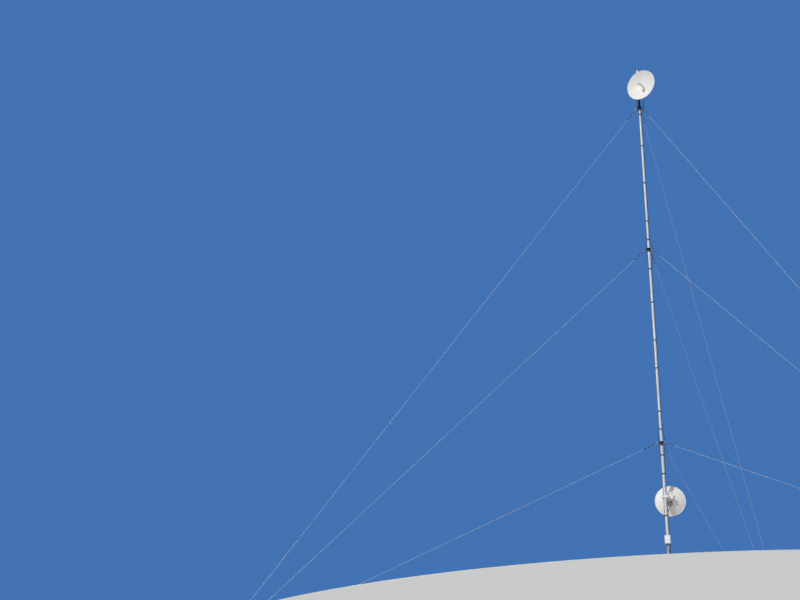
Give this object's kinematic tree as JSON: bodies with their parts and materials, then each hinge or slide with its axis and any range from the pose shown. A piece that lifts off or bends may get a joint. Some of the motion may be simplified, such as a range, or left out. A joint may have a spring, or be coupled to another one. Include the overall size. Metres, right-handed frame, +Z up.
{
  "type": "guyed radio mast",
  "caption": "Slim telescoping tube mast on a bolted base plate, held upright by taut wire guys to ground anchors, carrying dish antennas and strapped feeder cables.",
  "frame": {"origin": "centre of the base plate's underside, on the mast's axis", "axes": "+Z up along the mast; the west guys run towards -X, the other two sets 60 degrees either side of +X"},
  "size_m": [14.3164, 16.5248, 12.79],
  "materials": {
    "galvanised": "bright galvanised steel, weathered to a soft sheen",
    "white_bracket": "white powder coat",
    "dark_ring": "black paint, satin",
    "wire": "galvanised stranded wire, dull",
    "zinc": "zinc plate, dull",
    "dish_white": "white powder coat, warm, slightly chalked",
    "feed_grey": "pale grey moulded cover",
    "cap_white": "white moulded cap",
    "radio_white": "white moulded housing",
    "box_white": "white moulded box",
    "cable_black": "black cable jacket, satin",
    "gland_black": "black nylon"
  },
  "bodies": {
    "root": {"base_plate": "galvanised", "lower_tube": "galvanised", "middle_tube": "galvanised", "upper_tube": "galvanised", "anchor_west": "galvanised", "anchor_north": "galvanised", "anchor_south": "galvanised", "dish_brackets": "white_bracket", "split_clamps": "dark_ring", "guy_rings": "dark_ring", "lower_guy_west": "wire", "lower_guy_north": "wire", "lower_guy_south": "wire", "middle_guy_west": "wire", "middle_guy_north": "wire", "middle_guy_south": "wire", "upper_guy_west": "wire", "upper_guy_north": "wire", "upper_guy_south": "wire", "thimbles": "zinc", "turnbuckle_bodies": "zinc", "turnbuckle_forks": "zinc", "dish_ubolts": "zinc", "box_ubolts": "zinc", "box_plate": "zinc", "dish_hubs": "zinc", "dish_reflectors": "dish_white", "dish_feeds": "feed_grey", "mast_cap": "cap_white", "dish_radios": "radio_white", "equipment_box": "box_white", "upper_feeder": "cable_black", "lower_feeder": "cable_black", "earth_cable": "cable_black", "box_lead_1": "cable_black", "box_lead_2": "cable_black", "dish_jumpers": "cable_black", "cable_glands": "gland_black"}
  },
  "joints": []
}
